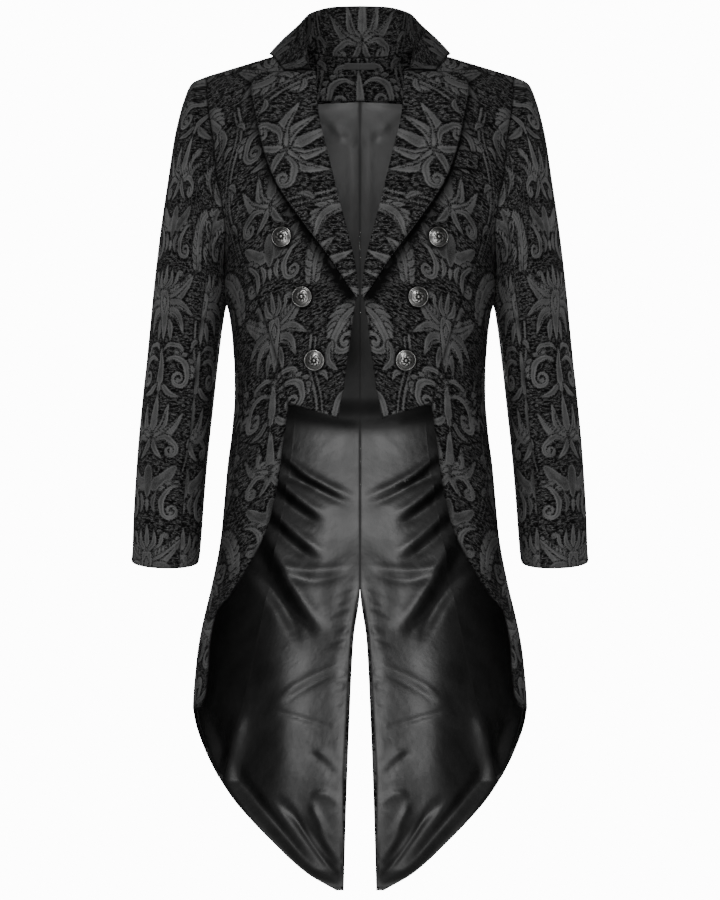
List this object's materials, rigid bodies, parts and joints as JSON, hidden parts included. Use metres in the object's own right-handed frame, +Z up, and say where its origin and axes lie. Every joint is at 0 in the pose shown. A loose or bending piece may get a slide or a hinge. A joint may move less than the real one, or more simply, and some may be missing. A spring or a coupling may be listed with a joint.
{
  "type": "damask tailcoat",
  "caption": "Hollow worn-form damask tailcoat with wide peaked lapels, high collar, waist-length fronts, domed shank buttons and long pointed tails.",
  "frame": {"origin": "on the centre plane, midway between the shoulders, at the height where the collar leaf meets the shoulder line", "axes": "+Z up, -Y out of the front, +X towards the wearer's left"},
  "size_m": [0.5924, 0.2791, 1.1819],
  "materials": {
    "damask": "black jacquard damask, matt crinkled ground with smoother satin-weave motifs",
    "satin": "black satin lining with a soft sheen",
    "silver": "antique silver, dark in the hollows and rubbed bright on the relief",
    "label_cloth": "black woven ribbon, left bare"
  },
  "bodies": {
    "root": {"front_l": "damask", "front_r": "damask", "side_l": "damask", "side_r": "damask", "back_l": "damask", "back_r": "damask", "sleeve_upper_l": "damask", "sleeve_upper_r": "damask", "sleeve_under_l": "damask", "sleeve_under_r": "damask", "lapel_l": "damask", "lapel_r": "damask", "collar": "damask", "neck_facing": "damask", "breast_welt": "damask", "lining_back_l": "satin", "lining_back_r": "satin", "lining_side_l": "satin", "lining_side_r": "satin", "label": "label_cloth", "button_l1": "silver", "button_l2": "silver", "button_l3": "silver", "button_r1": "silver", "button_r2": "silver", "button_r3": "silver"}
  },
  "joints": []
}
